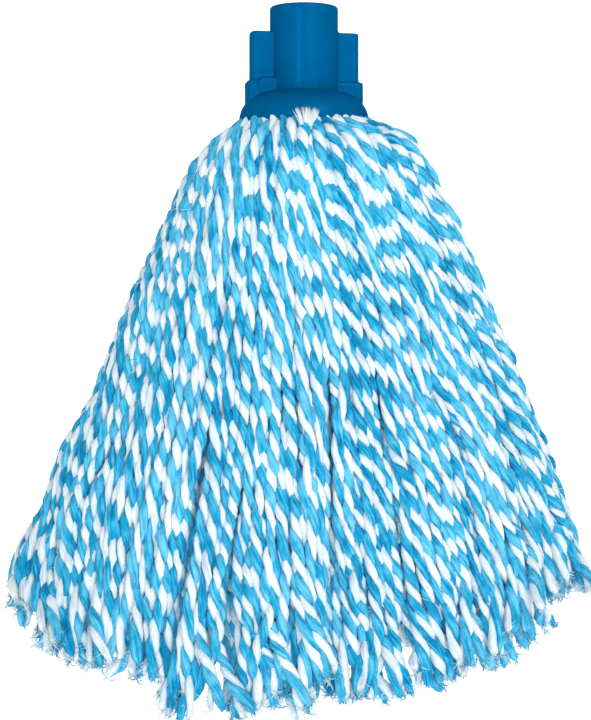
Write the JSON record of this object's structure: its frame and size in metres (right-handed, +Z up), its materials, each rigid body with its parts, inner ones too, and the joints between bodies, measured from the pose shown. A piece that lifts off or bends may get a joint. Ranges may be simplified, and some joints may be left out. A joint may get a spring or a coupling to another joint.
{
  "type": "string mop head",
  "caption": "Round string mop head: a screw-on handle socket with two side wings over a full skirt of twisted two-ply blue and white strings.",
  "frame": {"origin": "centre of the handle socket's top rim, where the handle goes in", "axes": "+Z up along the handle, X through the two side wings and along the skirt's wider spread, -Y the front"},
  "size_m": [0.261, 0.1594, 0.2958],
  "materials": {
    "socket_plastic": "satin",
    "clamp_plastic": "satin",
    "yarn": "matte"
  },
  "bodies": {
    "root": {"socket_body": "socket_plastic", "yarn_clamp": "clamp_plastic", "yarn_crown": "yarn", "core_strands": "yarn"},
    "outer_01": {"outer_strands_01": "yarn"},
    "inner_01": {"inner_strands_01": "yarn"},
    "outer_02": {"outer_strands_02": "yarn"},
    "inner_02": {"inner_strands_02": "yarn"},
    "outer_03": {"outer_strands_03": "yarn"},
    "inner_03": {"inner_strands_03": "yarn"},
    "outer_04": {"outer_strands_04": "yarn"},
    "inner_04": {"inner_strands_04": "yarn"},
    "outer_05": {"outer_strands_05": "yarn"},
    "inner_05": {"inner_strands_05": "yarn"},
    "outer_06": {"outer_strands_06": "yarn"},
    "inner_06": {"inner_strands_06": "yarn"},
    "outer_07": {"outer_strands_07": "yarn"},
    "inner_07": {"inner_strands_07": "yarn"},
    "outer_08": {"outer_strands_08": "yarn"},
    "inner_08": {"inner_strands_08": "yarn"},
    "outer_09": {"outer_strands_09": "yarn"},
    "inner_09": {"inner_strands_09": "yarn"},
    "outer_10": {"outer_strands_10": "yarn"},
    "inner_10": {"inner_strands_10": "yarn"},
    "outer_11": {"outer_strands_11": "yarn"},
    "inner_11": {"inner_strands_11": "yarn"},
    "outer_12": {"outer_strands_12": "yarn"},
    "inner_12": {"inner_strands_12": "yarn"}
  },
  "joints": [
    {"name": "outer_swing_01", "type": "hinge", "parent": "root", "child": "outer_01", "pos_m": [0.0285, 0, -0.054], "axis": [0, -1, 0], "range_deg": [0, 64]},
    {"name": "inner_swing_01", "type": "hinge", "parent": "root", "child": "inner_01", "pos_m": [0.0285, 0, -0.054], "axis": [0, -1, 0], "range_deg": [0, 32]},
    {"name": "outer_swing_02", "type": "hinge", "parent": "root", "child": "outer_02", "pos_m": [0.02468, 0.01425, -0.054], "axis": [0.2786, -0.9604, 0], "range_deg": [0, 68]},
    {"name": "inner_swing_02", "type": "hinge", "parent": "root", "child": "inner_02", "pos_m": [0.02468, 0.01425, -0.054], "axis": [0.2786, -0.9604, 0], "range_deg": [0, 34]},
    {"name": "outer_swing_03", "type": "hinge", "parent": "root", "child": "outer_03", "pos_m": [0.01425, 0.02468, -0.054], "axis": [0.6565, -0.7543, 0], "range_deg": [0, 74]},
    {"name": "inner_swing_03", "type": "hinge", "parent": "root", "child": "inner_03", "pos_m": [0.01425, 0.02468, -0.054], "axis": [0.6565, -0.7543, 0], "range_deg": [0, 37]},
    {"name": "outer_swing_04", "type": "hinge", "parent": "root", "child": "outer_04", "pos_m": [0, 0.0285, -0.054], "axis": [1, 0, 0], "range_deg": [0, 78]},
    {"name": "inner_swing_04", "type": "hinge", "parent": "root", "child": "inner_04", "pos_m": [0, 0.0285, -0.054], "axis": [1, 0, 0], "range_deg": [0, 39]},
    {"name": "outer_swing_05", "type": "hinge", "parent": "root", "child": "outer_05", "pos_m": [-0.01425, 0.02468, -0.054], "axis": [0.6565, 0.7543, 0], "range_deg": [0, 74]},
    {"name": "inner_swing_05", "type": "hinge", "parent": "root", "child": "inner_05", "pos_m": [-0.01425, 0.02468, -0.054], "axis": [0.6565, 0.7543, 0], "range_deg": [0, 37]},
    {"name": "outer_swing_06", "type": "hinge", "parent": "root", "child": "outer_06", "pos_m": [-0.02468, 0.01425, -0.054], "axis": [0.2786, 0.9604, 0], "range_deg": [0, 68]},
    {"name": "inner_swing_06", "type": "hinge", "parent": "root", "child": "inner_06", "pos_m": [-0.02468, 0.01425, -0.054], "axis": [0.2786, 0.9604, 0], "range_deg": [0, 34]},
    {"name": "outer_swing_07", "type": "hinge", "parent": "root", "child": "outer_07", "pos_m": [-0.0285, 0, -0.054], "axis": [0, 1, 0], "range_deg": [0, 64]},
    {"name": "inner_swing_07", "type": "hinge", "parent": "root", "child": "inner_07", "pos_m": [-0.0285, 0, -0.054], "axis": [0, 1, 0], "range_deg": [0, 32]},
    {"name": "outer_swing_08", "type": "hinge", "parent": "root", "child": "outer_08", "pos_m": [-0.02468, -0.01425, -0.054], "axis": [-0.2786, 0.9604, 0], "range_deg": [0, 68]},
    {"name": "inner_swing_08", "type": "hinge", "parent": "root", "child": "inner_08", "pos_m": [-0.02468, -0.01425, -0.054], "axis": [-0.2786, 0.9604, 0], "range_deg": [0, 34]},
    {"name": "outer_swing_09", "type": "hinge", "parent": "root", "child": "outer_09", "pos_m": [-0.01425, -0.02468, -0.054], "axis": [-0.6565, 0.7543, 0], "range_deg": [0, 74]},
    {"name": "inner_swing_09", "type": "hinge", "parent": "root", "child": "inner_09", "pos_m": [-0.01425, -0.02468, -0.054], "axis": [-0.6565, 0.7543, 0], "range_deg": [0, 37]},
    {"name": "outer_swing_10", "type": "hinge", "parent": "root", "child": "outer_10", "pos_m": [0, -0.0285, -0.054], "axis": [-1, 0, 0], "range_deg": [0, 78]},
    {"name": "inner_swing_10", "type": "hinge", "parent": "root", "child": "inner_10", "pos_m": [0, -0.0285, -0.054], "axis": [-1, 0, 0], "range_deg": [0, 39]},
    {"name": "outer_swing_11", "type": "hinge", "parent": "root", "child": "outer_11", "pos_m": [0.01425, -0.02468, -0.054], "axis": [-0.6565, -0.7543, 0], "range_deg": [0, 74]},
    {"name": "inner_swing_11", "type": "hinge", "parent": "root", "child": "inner_11", "pos_m": [0.01425, -0.02468, -0.054], "axis": [-0.6565, -0.7543, 0], "range_deg": [0, 37]},
    {"name": "outer_swing_12", "type": "hinge", "parent": "root", "child": "outer_12", "pos_m": [0.02468, -0.01425, -0.054], "axis": [-0.2786, -0.9604, 0], "range_deg": [0, 68]},
    {"name": "inner_swing_12", "type": "hinge", "parent": "root", "child": "inner_12", "pos_m": [0.02468, -0.01425, -0.054], "axis": [-0.2786, -0.9604, 0], "range_deg": [0, 34]}
  ],
  "couplings": [
    {"joint": "inner_swing_01", "follows": "outer_swing_01", "ratio": 0.5},
    {"joint": "inner_swing_02", "follows": "outer_swing_02", "ratio": 0.5},
    {"joint": "inner_swing_03", "follows": "outer_swing_03", "ratio": 0.5},
    {"joint": "inner_swing_04", "follows": "outer_swing_04", "ratio": 0.5},
    {"joint": "inner_swing_05", "follows": "outer_swing_05", "ratio": 0.5},
    {"joint": "inner_swing_06", "follows": "outer_swing_06", "ratio": 0.5},
    {"joint": "inner_swing_07", "follows": "outer_swing_07", "ratio": 0.5},
    {"joint": "inner_swing_08", "follows": "outer_swing_08", "ratio": 0.5},
    {"joint": "inner_swing_09", "follows": "outer_swing_09", "ratio": 0.5},
    {"joint": "inner_swing_10", "follows": "outer_swing_10", "ratio": 0.5},
    {"joint": "inner_swing_11", "follows": "outer_swing_11", "ratio": 0.5},
    {"joint": "inner_swing_12", "follows": "outer_swing_12", "ratio": 0.5}
  ]
}
